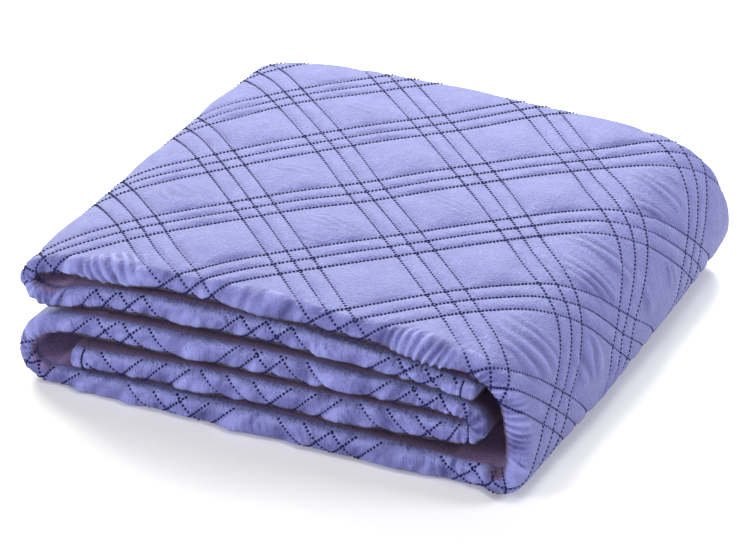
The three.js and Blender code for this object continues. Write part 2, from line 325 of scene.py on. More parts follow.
# Groups of like creases, mm: start and end of the middle one, how many, how far apart, height,
# bow to the side
pleatColumns = ("fromS", "fromV", "toS", "toV", "count", "pitch", "high", "bow")
pleats = (
    # top, from the left edge to the large fold
    (1566, -72, 1532, -86, 3, 9, 1.1, 2),
    (1610, 130, 1582, 142, 2, 8, 0.8, 1),
    (1498, 119, 1466, 111, 2, 7, 1.1, 2),
    (1506, -6, 1466, -15, 2, 8, 1.1, 2),
    (1436, -74, 1390, -84, 3, 7, 1.4, 3),
    (1436, -105, 1404, -110, 2, 6, 1.3, 1),
    (1374, 2, 1326, -15, 3, 7, 1.3, 3),
    # large fold
    (1254, 121, 1218, 113, 2, 12, 1.7, 2),
    (1248, 143, 1224, 143, 1, 10, 1.6, 0),
    (1248, 82, 1216, 87, 2, 9, 1.9, 0),
    (1260, -2, 1212, -2, 2, 12, 1.9, 2),
    (1252, -42, 1212, -40, 3, 10, 1.9, 2),
    (1206, 12, 1180, 12, 2, 11, 1.5, 0),
    (1206, 58, 1182, 58, 2, 10, 1.5, 0),
    (1256, -152, 1210, -150, 4, 12, 1.8, 2),
    (1212, -95, 1182, -97, 3, 15, 1.6, 0),
    (1198, -222, 1192, -192, 9, 5, 1.3, 0),
    (1174, -212, 1165, -202, 1, 5, -3.2, 0),
    (1236, -220, 1232, -200, 4, 6, 2.3, 0),
    # front fold of the top layer
    (1552, -190, 1530, -222, 7, 8, 2.6, 0),
    (1284, -190, 1296, -222, 8, 6.5, 2.3, 0),
    (1626, -222, 1626, -200, 5, 6, 2, 0),
    # front fold of the second layer
    (1639, -216, 1645, -198, 3, 6, 1.3, 0),
    (1662, -218, 1650, -200, 1, 8, -2.9, 0),
    (1679, -218, 1683, -200, 3, 5, 1.0, 0),
    (1794, -219, 1803, -202, 1, 6, -2.1, 0),
    (1872, -218, 1886, -201, 3, 7, 1.4, 0),
    (1977, -218, 1979, -198, 4, 6, 1.0, 0),
    # third layer and its turn into the fourth
    (387, -213, 383, -191, 6, 6, 1.0, 0),
    (345, -215, 345, -193, 9, 6, 1.4, 0),
    # fourth layer
    (270, -218, 289, -198, 5, 5, 1.1, 0),
    (229, -219, 241, -201, 3, 6, 1.1, 0),
    # lower lip and fifth layer
    (734, -221, 729, -200, 6, 6, 1.4, 0),
    (805, -222, 797, -204, 1, 6, 1.4, 0),
    (941, -226, 949, -206, 5, 6, 1.1, 0),
    (987, -225, 997, -205, 5, 5, 1.1, 0),
    (1116, -228, 1121, -202, 6, 9, 1.4, 0),
)


def pleatRise(s, v, level=0):
    # Each group is a row of rounded crests across its direction, fading at both ends
    # and beyond its outer creases; level is the share of a crest that counts as nought
    share, size, seed = wrinkles["pleatWander"]
    wander = share * softNoise(s, v, size, seed)
    share, size, seed = wrinkles["pleatUneven"]
    uneven = 1 + share * softNoise(s, v, size, seed)
    rise = np.zeros(np.broadcast(s, v).shape)
    for values in pleats:
        row = dict(zip(pleatColumns, values))
        chordS, chordV = row["toS"] - row["fromS"], row["toV"] - row["fromV"]
        length = math.hypot(chordS, chordV)
        offS, offV = s - row["fromS"], v - row["fromV"]
        along = np.clip((offS * chordS + offV * chordV) / length ** 2, 0, 1)
        aside = (offV * chordS - offS * chordV) / length - 4 * row["bow"] * along * (1 - along)
        crest = (0.5 + 0.5 * np.cos(2 * math.pi * (aside / row["pitch"] + wander))) ** 2
        fade = np.exp(-(2 * aside / (row["count"] * row["pitch"])) ** 4)
        fade = fade * np.sin(math.pi * along) ** wrinkles["pleatEnds"]
        rise = rise + row["high"] * (crest * uneven - level) * fade
    return rise


def slackness(s, v):
    # One on the flat of the cloth, falling to nought on the bends and towards the back edge
    wide = wrinkles["tautWide"]
    slack = smooth(folding["back"], folding["back"] - 2 * wide, v)
    for name in bends:
        begin, end = spans[name]
        slack = slack * (1 - smooth(begin - wide, begin, s) * smooth(end + wide, end, s))
    return slack


def relief(s, v):
    # Puffs, less a narrow trough along every stitched line, plus the pleats, plus puckers that stand
    # across the lines and die away beside them, plus long soft waves
    rising, falling = lattice(s, v)
    nearRising, nearFalling = lineGap(rising), lineGap(falling)
    near = np.minimum(nearRising, nearFalling)
    slack = slackness(s, v)
    taut = wrinkles["tautShare"]
    clear = wrinkles["clear"]
    puff = quilting["puffHigh"] * (taut + (1 - taut) * slack) * fullness(rising, falling)
    trough = quilting["grooveDeep"] * np.exp(-(near / quilting["grooveWide"]) ** 2)
    rise = puff - quilting["sink"] * slack - trough
    rise = rise + pleatRise(s, v) * smooth(0, clear["pleats"], near)
    share, size = wrinkles["puckerWander"]
    for gap, along, seed in ((nearRising, falling, 11), (nearFalling, rising, 12)):
        phase = along * cellWide / wrinkles["puckerLong"] + share * softNoise(s, v, size, seed)
        fade = np.exp(-gap / wrinkles["puckerWide"]) * smooth(0, clear["puckers"], near)
        rise = rise + wrinkles["puckerHigh"] * fade * np.sin(2 * math.pi * phase)
    for size, high, seed in wrinkles["waves"]:
        rise = rise + high * softNoise(s, v, size, seed) * smooth(0, clear["waves"], near)
    return rise


# Soft dents in the lowest layer's front edge, mm: distance along, half width, depth
dents = ((817, 18, 3.5), (953, 22, 2.5), (1085, 42, 3.2))


def rumples(s, v, near):
    # Random heights drawn out across the fold, dying away towards the stitched lines
    drawn = wrinkles["rumpleDrawn"] * v
    rise = 0
    for size, high, seed in wrinkles["rumples"]:
        rise = rise + high * softNoise(s + drawn, drawn, size, seed)
    return rise * smooth(0, wrinkles["clear"]["rumples"], near)


def ripples(s, v, turn):
    # Narrow crests across the front fold, strongest in the middle of a diamond and at the fold's
    # foremost line, plus the rumples, less the dents
    rising, falling = lattice(s, v)
    share, size, seed = wrinkles["rippleWander"]
    wander = share * softNoise(s, v, size, seed)
    phase = (s + wrinkles["rippleSlant"] * v) / wrinkles["rippleLong"] + wander
    crest = (0.5 + 0.5 * np.sin(2 * math.pi * phase)) ** 2
    share, size, seed = wrinkles["ripplePatch"]
    patch = share * (1 + softNoise(s, 0 * v, size, seed))
    rise = wrinkles["rippleHigh"] * patch * np.sqrt(fullness(rising, falling)) * crest
    rise = rise + rumples(s, v, np.minimum(lineGap(rising), lineGap(falling)))
    for middle, wide, deep in dents:
        rise = rise - deep * np.exp(-((s - middle) / wide) ** 4)
    return rise * np.sqrt(np.clip(np.sin(turn), 0, 1))


def creases(s, v, turn):
    # Height of pleats and rumples over their middle, as a share of the full height
    near = np.minimum(*(lineGap(cell) for cell in lattice(s, v)))
    pleated = pleatRise(s, v, wrinkles["pleatLevel"]) * smooth(0, wrinkles["clear"]["pleats"], near)
    rise = pleated + rumples(s, v, near) * np.sqrt(np.clip(np.sin(turn), 0, 1))
    return np.clip(rise / wrinkles["creaseFull"], -1, 1)


def shownShare(s):
    # One where the outer ply is seen: round the lower lip, and from the wrap over the top to its lip
    fade = folding["shownFade"]
    parts = (spans["lowerLip"], (spans["wrap"][0], spans["topLip"][1]))
    return sum(smooth(begin - fade, begin, s) * smooth(end + fade, end, s) for begin, end in parts)


# Turned hem at both ends of the strip, mm
hems = {
    "wide": 10,
    "high": 0.7,
    "seamDeep": 0.8,
    "seamWide": 1.1,
    "edgeRound": 3,      # length over which the outer edge is rounded off
    "edgeDrop": 1.6,
    "stepWide": 1,       # half the width of the step down at the seam
    "fadeIn": 12,        # length past the hem over which the quilting begins
}


def hemRise(s):
    # Raised strip up to the seam, a trough along the seam, and a rounded drop towards the cut edge
    inward = np.minimum(s, fullLength - s)
    wide, step = hems["wide"], hems["stepWide"]
    strip = hems["high"] * smooth(wide + step, wide - step, inward)
    trough = hems["seamDeep"] * np.exp(-((inward - wide) / hems["seamWide"]) ** 2)
    return strip - trough - hems["edgeDrop"] * smooth(hems["edgeRound"], 0, inward) ** 2


def foldWeight(turn, shown):
    # Share of the relief on a fold: what shows stays full on the near half, and all dies away past it
    return np.where(turn < math.pi / 2, np.maximum(shown, np.sin(turn)), np.sin(turn))


def face(s, v):
    # Outer face of the cloth at distance s along and v across, mm: flat between the middles of its
    # folds, round the front fold below frontMiddle and round the back fold beyond backMiddle
    at = station(s)
    frontTurn = np.clip((at["frontMiddle"] - v) / at["half"], 0, math.pi)
    backTurn = np.clip((v - at["backMiddle"]) / at["inner"], 0, math.pi)
    shown = shownShare(s)
    weight = np.where(backTurn > 0, foldWeight(backTurn, shown), shown)
    weight = np.where(frontTurn > 0, foldWeight(frontTurn, shown), weight)
    inward = np.minimum(s, fullLength - s)
    weight = weight * smooth(hems["wide"], hems["wide"] + hems["fadeIn"], inward)
    rise = weight * (relief(s, v) + ripples(s, v, frontTurn)) + hemRise(s)
    y = np.clip(v, at["frontMiddle"], at["backMiddle"])
    y = y - (at["half"] + rise) * np.sin(frontTurn) + (at["inner"] + rise) * np.sin(backTurn)
    out = (at["half"] + rise) * np.cos(frontTurn)
    back = at["half"] - at["inner"] + (at["inner"] + rise) * np.cos(backTurn)
    return place(at, y, np.where(backTurn > 0, back, out))


# Grid of the cloth: parts of a repeat along the strip, from the top layer's front folds to the hidden
# plies, then facets round the folds and rows beside them
grid = {
    "fine": 96,
    "edge": 64,
    "face": 48,
    "bend": 24,
    "hidden": 6,
    "frontFacets": 22,
    "shoulderRows": 7,
    "backFacets": 8,
    "innerFacets": 4,
    "hemFacets": 4,
    "edgeStrip": 20,               # mm of the face at the front and the back that go with the folds
    "flatSteps": (40, 9, 5, 2.5),  # mm behind the front fold's middle, rows on the bottom ply
    "endMargin": 0.6,              # steps left free at both ends of the strip
    "topMargin": 5,                # mm by which the fine and the bends' columns pass their part
    "bendMargin": 8,
    "hemMargin": 3,                # mm beside the seams that belong to the hems' own columns
    "roundColumns": 4,
    "seamColumns": (-2.5, 2.5, 9),  # mm from the seam, count
}


def columnsAt(parts):
    # Distances at which the lattice's repeat is cut into so many parts along the outer face
    faceStart, faceEnd = line["faceS"][0], line["faceS"][-1]
    first = math.ceil((tieX - (faceEnd - tieFace) / repeat) * parts)
    last = math.floor((tieX - (faceStart - tieFace) / repeat) * parts)
    faceS = tieFace - (np.arange(last, first - 1, -1) / parts - tieX) * repeat
    margin = grid["endMargin"] * repeat / parts
    faceS = faceS[(faceS > faceStart + margin) & (faceS < faceEnd - margin)]
    return np.interp(faceS, line["faceS"], line["s"])


def within(s, names, margin):
    # True in these spans and up to the margin beyond their ends
    return np.any([(s > begin - margin) & (s < end + margin)
                   for begin, end in (spans[name] for name in names)], axis=0)


def columnSets():
    # Fine along the top layer's folds, lattice steps where the face shows, wide steps where it is not
    names = ("fine", "edge", "face", "bend", "hidden")
    fine, edging, medium, bent, wide = (columnsAt(grid[name]) for name in names)
    isTop = lambda s: within(s, ("wrap", "first", "topLip"), grid["topMargin"])
    isShown = lambda s: shownShare(s) > 0
    isBent = lambda s: within(s, tuple(bends), grid["bendMargin"])
    hemEnd = hems["wide"] + grid["hemMargin"]
    inside = lambda s: s[(s > hemEnd) & (s < fullLength - hemEnd)]
    rounding = np.linspace(0, hems["edgeRound"], grid["roundColumns"])
    edge = np.concatenate([rounding, hems["wide"] + np.linspace(*grid["seamColumns"])])
    join = lambda *parts: np.unique(np.concatenate([[0, fullLength], *parts]))
    hidden = (bent[isBent(bent)], wide[~isBent(wide)])
    return {
        "fold": join(fine[isTop(fine)], inside(edging[~isTop(edging)]), edge, fullLength - edge),
        "face": join(medium[isShown(medium)], *(part[~isShown(part)] for part in hidden)),
        "back": join(bent),
        "hidden": join(*hidden),
    }


def faceGrid(s, rows):
    # Lattice crossings nearest to the columns s and the rows, which puts the stitched lines
    # through grid points
    cx = tieX - (np.interp(s, line["s"], line["faceS"]) - tieFace) / repeat
    cy = rows / repeat + quilting["offset"][1]
    cells = quilting["cells"]
    alongS, acrossV = onLattice(cells * (cx - cy), cells * (-cx - cy))
    unseen = shownShare(s) <= 0
    return np.where(unseen, s, alongS), np.where(unseen, rows, acrossV)


# Shares of the colours painted in for light and shade where the cloth goes into the stack, turns under
# or creases: painted shade, painted dark, painted highlight and painted light
shading = {
    "paintedInsideShade": (8, 12),          # mm behind an edge over which the cloth turns to its painted shade colour
    "deep": (10, 17),           # and over which it goes to a painted dark
    "paintedDarkShare": 0.55,
    "paintedDarkMargin": 40,           # mm beside the lips and the wrap that stay open to the light and get no painted dark
    "lipMargin": 10,
    "lipPaintedInsideShade": 0.65,
    "lipUnder": 0.2,
    "lipStreaks": 0.6,
    "streak": (0.8, 9, 51),     # height at which a painted shade streak is full, size, seed
    "wrapMargin": 20,
    "wrapInside": (1.95, 2.3),  # turn over which the wrap's front fold goes inside
    "wrapUnder": 0.75,
    "lipInside": (2, 2.7),      # and over which the lips' front folds do
    "lipInsideUnder": 0.5,
    "under": (0.38, 0.5),       # how far a front fold faces down where its painted dark underside begins and is full
    "underHigh": (10, 14),      # height of the layer over which that comes in
    "crest": (0.35, 0.85),      # how far a front fold faces up where its painted highlight begins and is full
    "front": (0, 0.9),          # turn over which the front fold's crinkle comes in
    "faceCreases": 0.5,         # share of the creases' painted highlight on the quilted face
}


def frontShades(s, turn, at, shown, paintedInsideShade, streaks):
    # On a front fold: a painted dark underside where it faces down, a painted highlight where it faces
    # up, painted shade where it turns inside
    onWrap = within(s, ("wrap",), shading["wrapMargin"])
    up = at["outZ"] * np.cos(turn)
    under = smooth(*shading["under"], -up) * smooth(*shading["underHigh"], at["z"])
    under = np.where(onWrap | within(s, ("lowerLip",), 0), 0, under)
    wrapInside, lipInside = (smooth(*shading[name], turn) for name in ("wrapInside", "lipInside"))
    inside = shown * np.where(onWrap, wrapInside, lipInside)
    paintedInsideShade = np.maximum(paintedInsideShade, np.where(onWrap, 1, shading["lipPaintedInsideShade"]) * inside)
    wrapUnder = shading["wrapUnder"] * np.sqrt(inside)
    lipUnder = shading["lipInsideUnder"] * streaks * inside
    under = np.maximum(under, np.where(onWrap, wrapUnder, lipUnder))
    front = smooth(*shading["front"], turn) * (1 - paintedInsideShade)
    crest = (1 - shown) * (1 - paintedInsideShade) * smooth(*shading["crest"], up)
    return paintedInsideShade, under, front, np.where(within(s, ("first",), 0), 0, crest)


def clothShades(s, v, at, y, shown, isFront):
    # Depth behind the nearer edge gives hidden cloth a painted shade and then a painted dark, in
    # painted streaks in the lips, where a paler colour is painted light;
    # a crease gets a painted highlight above its middle and painted shade below it
    inward = y + folding["middle"][1] - folding["front"]
    inward = np.minimum(inward, folding["back"] - folding["front"] - inward)
    isOpen = within(s, ("lowerLip", "wrap", "topLip"), shading["paintedDarkMargin"])
    # Painted dark deeper inside the stack, left out beside the lips and the wrap
    deep = np.where(isOpen, 0, shading["paintedDarkShare"]) * (1 - shown) * smooth(*shading["deep"], inward)
    inLip = within(s, ("lowerLip", "topLip"), shading["lipMargin"])
    # Painted shade on the hidden cloth inside the stack, weaker in the lips
    paintedInsideShade = (1 - shown) * smooth(*shading["paintedInsideShade"], inward)
    paintedInsideShade = np.where(inLip, shading["lipPaintedInsideShade"], 1) * paintedInsideShade
    full, size, seed = shading["streak"]
    streaks = smooth(0, full, softNoise(s, 0 * s, size, seed))
    under = np.where(inLip, shading["lipUnder"] * streaks * paintedInsideShade, 0)
    # Painted light inside the lips, less along the painted shade streaks
    lip = np.where(inLip, (1 - shading["lipStreaks"] * streaks) * paintedInsideShade, 0)
    front, crest, paintedCreaseShade = (np.zeros(s.shape) for shade in range(3))
    turn = None if v is None else (at["frontMiddle"] - v) / at["half"]
    if isFront:
        paintedInsideShade, under, front, crest = frontShades(s, turn, at, shown, paintedInsideShade, streaks)
    if v is not None:
        crease = creases(s, v, np.clip(turn, 0, math.pi)) * (1 - paintedInsideShade)
        # Painted highlight on the creases' crests
        crest = np.maximum(crest, crease * (1 if isFront else shading["faceCreases"]))
        # Painted shade in the creases' troughs
        paintedCreaseShade = np.maximum(-crease, 0)
    return {"paintedInsideShade": paintedInsideShade, "under": np.maximum(under, deep), "front": front, "crest": crest,
            "paintedCreaseShade": paintedCreaseShade, "lip": lip}


def clothBlocks():
    # Blocks of the section's loop, each with its distances s and its points in a grid of columns by
    # rows: front fold with its shoulder, quilted face, back shoulder with its fold, then inner plies
    sets = columnSets()
    ply, gap = folding["plyShare"], folding["gapShare"]
    inner = ply + gap / 2
    offset = quilting["offset"][1]
    faceStep = repeat / grid["face"]
    firstRow = math.ceil((folding["front"] + grid["edgeStrip"]) / faceStep + grid["face"] * offset)
    lastRow = math.floor((folding["back"] - grid["edgeStrip"]) / faceStep + grid["face"] * offset)
    rows = (np.arange(firstRow, lastRow + 1) / grid["face"] - offset) * repeat
    blocks = []

    def addBlock(name, shape, outer=False):
        # Points of the shape over that set of columns, with their shares of painted light and shade
        columns = sets[name][:, None]
        at = station(columns)
        s, points, v = shape(columns, at)
        s = s + np.zeros(points.shape[:2])
        shown = shownShare(s) if outer else np.zeros(s.shape)
        shades = clothShades(s, v, at, points[..., 1], shown, name == "fold")
        blocks.append((s, points, name == "face", shades))

    def turns(facets):
        # Even angles over half a turn
        return np.linspace(0, math.pi, facets + 1)[None, :]

    def shares(count):
        # Even shares between 0 and 1, without these
        return (np.arange(1, count) / count)[None, :]

    def faceEdge(s, row):
        # Place across of the quilted face's outermost row at distance s
        return np.interp(s, *(values[:, 0] for values in faceGrid(sets["face"][:, None], row)))

    def frontBlock(s, at):
        # Half a turn round the front fold, then even steps to the quilted face
        fold = at["frontMiddle"] - at["half"] * turns(grid["frontFacets"])[:, ::-1]
        shoulder = (faceEdge(s, rows[:1]) - at["frontMiddle"]) * shares(grid["shoulderRows"])
        v = np.concatenate([fold, at["frontMiddle"] + shoulder], 1)
        return s, face(s, v), v

    def faceBlock(s, at):
        # The quilted face on its lattice crossings
        s, v = faceGrid(s, rows[None, :])
        return s, face(s, v), v

    def backBlock(s, at):
        # Even steps from the quilted face, then half a turn round the back fold
        edge = faceEdge(s, rows[-1:])
        shoulder = edge + (at["backMiddle"] - edge) * shares(grid["shoulderRows"])
        fold = at["backMiddle"] + at["inner"] * turns(grid["backFacets"])
        return s, face(s, np.concatenate([shoulder, fold], 1)), None

    def flatBlock(s, at):
        # Rows on the bottom ply behind the front fold
        return s, place(at, at["frontMiddle"] + np.array([grid["flatSteps"]]), -at["half"]), None

    def frontFold(share, angle):
        # Half a turn about the front fold's middle, its radius that share of half the thickness
        return lambda s, at: (s, place(at, at["frontMiddle"] - share * at["half"] * np.sin(angle),
                                       share * at["half"] * np.cos(angle)), None)

    def backFold(share, angle):
        # The same about the back fold's middle
        return lambda s, at: (s, place(at, at["backMiddle"] + share * at["half"] * np.sin(angle),
                                       (1 - inner + share * np.cos(angle)) * at["half"]), None)

    def hem(step, low, high):
        # Rounded free edge between two heights, that step inside the back edge
        angle = turns(grid["hemFacets"])
        middle, radius = (low + high) / 2, (high - low) / 2
        end = folding["back"] - step
        return lambda s, at: (s, place(at, end - radius * at["half"] * (1 - np.sin(angle)),
                                       (middle + radius * np.cos(angle)) * at["half"]), None)

    addBlock("fold", frontBlock, True)
    addBlock("face", faceBlock, True)
    addBlock("back", backBlock, True)
    addBlock("hidden", frontFold(gap / 2, turns(2)))
    addBlock("back", hem(folding["hemSteps"][1], -inner, -gap / 2))
    addBlock("hidden", frontFold(inner, turns(grid["innerFacets"])[:, ::-1]))
    addBlock("hidden", backFold(gap / 2, turns(2)[:, ::-1]))
    addBlock("hidden", frontFold(1 - ply, turns(grid["innerFacets"])))
    addBlock("back", hem(folding["hemSteps"][0], -1, ply - 1))
    addBlock("back", flatBlock)
    return blocks, rows


def zipRows(lowIds, lowS, highIds, highS):
    # Strip between two rows: both are walked in order of distance, and each step makes one triangle
    lowThird = highIds[np.searchsorted(highS[1:], lowS[1:], "left")]
    highThird = lowIds[np.searchsorted(lowS[1:], highS[1:], "right")]
    low = np.stack([lowIds[1:], lowIds[:-1], lowThird], 1)
    high = np.stack([highIds[1:], highThird, highIds[:-1]], 1)
    return np.concatenate([low, high])


def latticeCells(ids, s, v):
    # Two triangles to a cell, split along the diagonal that runs with the nearer stitched line
    a, b, c, d = ids[:-1, :-1], ids[1:, :-1], ids[1:, 1:], ids[:-1, 1:]
    rising, falling = lattice((s[:-1, :-1] + s[1:, 1:]) / 2, (v[:-1, :-1] + v[1:, 1:]) / 2)
    alongFalling = (lineGap(falling) < lineGap(rising))[..., None]
    first = np.where(alongFalling, np.stack([a, c, b], -1), np.stack([a, d, b], -1))
    second = np.where(alongFalling, np.stack([a, d, c], -1), np.stack([b, d, c], -1))
    return np.concatenate([first.reshape(-1, 3), second.reshape(-1, 3)])


def makeMesh(name, points, faces, smoothShade=True):
    # Mesh piece from rows of points and rows of corners
    mesh = bpy.data.meshes.new(name)
    mesh.vertices.add(len(points))
    mesh.vertices.foreach_set("co", np.asarray(points, np.float32).ravel())
    corners = faces.shape[1]
    mesh.loops.add(faces.size)
    mesh.loops.foreach_set("vertex_index", faces.astype(np.int32).ravel())
    mesh.polygons.add(len(faces))
    mesh.polygons.foreach_set("loop_start", np.arange(0, faces.size, corners, dtype=np.int32))
    mesh.polygons.foreach_set("use_smooth", np.full(len(faces), smoothShade))
    mesh.update(calc_edges=True)
    mesh.validate()
    piece = bpy.data.objects.new(name, mesh)
    bpy.context.scene.collection.objects.link(piece)
    return piece


def makeCloth():
    # Rows of all blocks joined in a loop, and the two cut ends
    blocks, faceRows = clothBlocks()
    points, faces, rows = [], [], []
    count = 0
    for s, block, quilted, shades in blocks:
        ids = count + np.arange(s.size).reshape(s.shape)
        count += s.size
        points.append(block.reshape(-1, 3))
        if quilted:
            faces.append(latticeCells(ids, *faceGrid(columnSets()["face"][:, None], faceRows[None, :])))
        rows.extend((ids[:, row], s[:, row], quilted) for row in range(s.shape[1]))
    for low, high in zip(rows, rows[1:] + rows[:1]):
        if not (low[2] and high[2]):
            faces.append(zipRows(low[0], low[1], high[0], high[1]))
    points = np.concatenate(points)
    # A cut end's loop is parted into two walks, which are zipped by their shares of the way
    firstHem = 5   # blocks up to and with the first hem
    outerRows = sum(block[0].shape[1] for block in blocks[:firstHem])
    for end in (0, -1):
        loop = np.array([ids[end] for ids, s, quilted in rows])
        loop = np.roll(loop, grid["hemFacets"] // 2 + 1)
        outer, inner = loop[:outerRows + 1], loop[outerRows + 1:][::-1]
        walks = [np.concatenate([[0], np.cumsum(np.linalg.norm(np.diff(points[ids], axis=0), axis=1))])
                 for ids in (outer, inner)]
        cap = zipRows(outer, walks[0] / walks[0][-1], inner, walks[1] / walks[1][-1])
        faces.append(cap if end == 0 else cap[:, ::-1])
    piece = makeMesh("quilted_cloth", points * mm, np.concatenate(faces))
    # The painted light and shade shares go on the points as attributes
    for name in blocks[0][3]:
        values = np.concatenate([block[3][name].ravel() for block in blocks])
        attribute = piece.data.attributes.new(name, "FLOAT", "POINT")
        attribute.data.foreach_set("value", values.astype(np.float32))
    return piece


cloth = makeCloth()
print("stage: cloth", len(cloth.data.vertices), "points", len(cloth.data.polygons), "faces")

# Stitches of the quilting lines, mm; a size is length, width, height and lift of the middle
# over the groove
stitching = {
    "pitch": (3.06, 3.5),        # on the rising and on the falling lines
    "top": ((2.0, 2.4, 1.7, 0.6), (1.55, 2.5, 0.85, 0.38)),
    "wrap": ((1.3, 1.5, 0.6, 0.3), (2.0, 1.9, 1.0, 0.45)),
    "front": (2.3, 2.0, 1.1, 0.5),
    "dip": 0.3,                  # how far the ends go down into the cloth
    "lowest": 1.6,               # height over the floor below which none is made
    "reach": 24,                 # repeats that are tried each way
    "widest": 1.2,               # shares of the back edge's place beyond which none is tried
    "jitter": 0.03,              # shares of a pitch
    "hemClear": 4,
    "frontTurns": (0.2, 2.85),   # turns round the folds between which stitches are made
    "backTurns": (0.3, 2.7),
    "frontGrowth": (0.1, 0.9),   # turn over which the top's size becomes the front's
    "wrapFade": 20,
    "heading": 0.05,             # cells each way between which a line's direction is taken
    "probe": 0.8,                # mm each way between which the cloth's slope is taken
    "rings": ((-0.5, 0, 0.65), (-0.3, 1, 1), (0.3, 1, 1), (0.5, 0, 0.65)),   # place, lift, girth
    "seed": 7,
}


def stitchPlaces():
    # Along every line of both families, one place each pitch; those on faces that can be seen are kept
    rng = np.random.default_rng(stitching["seed"])
    cells, band = quilting["cells"], quilting["bandCells"]
    reach = stitching["reach"] * cells
    middles = np.arange(-reach, reach + 1, cells)
    lines = (middles[:, None] + np.array([-band, 0, band])[None, :]).ravel()
    hemEnd, sideEnd = hems["wide"] + stitching["hemClear"], stitching["widest"] * folding["back"]
    (frontFrom, frontTo), (backFrom, backTo) = stitching["frontTurns"], stitching["backTurns"]
    heading, fade, wrapEnd = stitching["heading"], stitching["wrapFade"], spans["wrap"][1]
    places = []
    for family in (0, 1):
        pitch = stitching["pitch"][family] / cellWide
        across, run = np.meshgrid(lines, np.arange(-reach, reach, pitch), indexing="ij")
        start = rng.uniform(0, 1, (len(lines), 1))
        run = run + pitch * (start + rng.normal(0, stitching["jitter"], run.shape))
        where = lambda step: onLattice(*((across, run + step) if family == 0 else (run + step, across)))
        s, v = where(0)
        onStrip = (np.minimum(s, fullLength - s) > hemEnd) & (np.abs(v) < sideEnd)
        across, run, s, v = (values[onStrip] for values in (across, run, s, v))
        ahead = np.array(where(heading)) - np.array(where(-heading))
        ds, dv = ahead / np.hypot(*ahead)
        at = station(s)
        frontTurn = (at["frontMiddle"] - v) / at["half"]
        backTurn = (v - at["backMiddle"]) / at["inner"]
        ends = (frontTurn < frontTo) & (backTurn < backTo)
        kept = ends & ((frontTurn > frontFrom) | (backTurn > backFrom) | (shownShare(s) > 0.5))
        kept = kept & (face(s, v)[:, 2] > stitching["lowest"])
        front = smooth(*stitching["frontGrowth"], frontTurn)
        bent = smooth(wrapEnd + fade, wrapEnd - fade, s)
        kinds = zip(stitching["top"][family], stitching["wrap"][family], stitching["front"])
        sizes = [(top * (1 - bent) + wrap * bent) * (1 - front) + fold * front
                 for top, wrap, fold in kinds]
        places.append(np.stack([s, v, ds, dv, *sizes], 1)[kept])
    return np.concatenate(places)


# Hem seams, mm
seaming = {
    "size": (2.7, 1.5, 0.9, 0.5),   # as the quilting's
    "pitch": 2.5,
    "turns": (2.8, 2.6),            # how far round the front and the back fold
    "flat": 30,                     # length on the flat beside each fold
}


def seamPlaces():
    # Close stitches across the strip along both hem seams, round the front and the back fold
    places = []
    for s in (hems["wide"], fullLength - hems["wide"]):
        at = station(s)
        frontStart = at["frontMiddle"] - seaming["turns"][0] * at["half"]
        backEnd = at["backMiddle"] + seaming["turns"][1] * at["inner"]
        front = np.arange(frontStart, at["frontMiddle"] + seaming["flat"], seaming["pitch"])
        back = np.arange(at["backMiddle"] - seaming["flat"], backEnd, seaming["pitch"])
        v = np.concatenate([front, back])
        places.append(np.stack(np.broadcast_arrays(s, v, 0, -1, *seaming["size"]), 1))
    return np.concatenate(places)


def threadRun(places):
    # Each stitch is a four-sided thread of four rings along its line, arched so that its ends dip
    # into the cloth
    s, v, ds, dv, long, wide, high, lift = (column[:, None] for column in places.T)
    along, raised, girth = (column[None, :] for column in np.array(stitching["rings"]).T)
    arch = raised * lift - (1 - raised) * stitching["dip"]
    sAll, vAll = s + ds * along * long, v + dv * along * long
    stepS, stepV = ds * stitching["probe"], dv * stitching["probe"]
    ahead = face(sAll + stepS, vAll + stepV) - face(sAll - stepS, vAll - stepV)
    aside = face(sAll - stepV, vAll + stepS) - face(sAll + stepV, vAll - stepS)
    unit = lambda vector: vector / np.linalg.norm(vector, axis=-1, keepdims=True)
    up = unit(np.cross(aside, ahead))
    side = unit(np.cross(ahead, up))
    middle = face(sAll, vAll) + up * arch[..., None]
    corner = np.array([(1, 0), (0, 1), (-1, 0), (0, -1)], float)[None, None]
    wide, high = (size[:, :, None, None] / 2 for size in (wide, high))
    ring = side[:, :, None] * corner[..., :1] * wide + up[:, :, None] * corner[..., 1:] * high
    return middle[:, :, None] + girth[..., None, None] * ring


def makeThread(name, rings):
    # Quads between the rings of each stitch and over both of its ends
    count, ringCount, sides = rings.shape[:3]
    ids = np.arange(count * ringCount * sides).reshape(count, ringCount, sides)
    after = np.roll(ids, -1, axis=2)
    walls = np.stack([ids[:, :-1], ids[:, 1:], after[:, 1:], after[:, :-1]], -1).reshape(-1, 4)
    faces = np.concatenate([walls, ids[:, 0], ids[:, -1, ::-1]])
    return makeMesh(name, rings.reshape(-1, 3) * mm, faces)


stitches = makeThread("quilting_stitches", threadRun(stitchPlaces()))
seams = makeThread("hem_seams", threadRun(seamPlaces()))
print("stage: stitches", len(stitches.data.polygons), "faces, hem seams", len(seams.data.polygons))

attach(stitches, "root")
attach(seams, "root")
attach(cloth, "root")
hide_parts("bedspread")

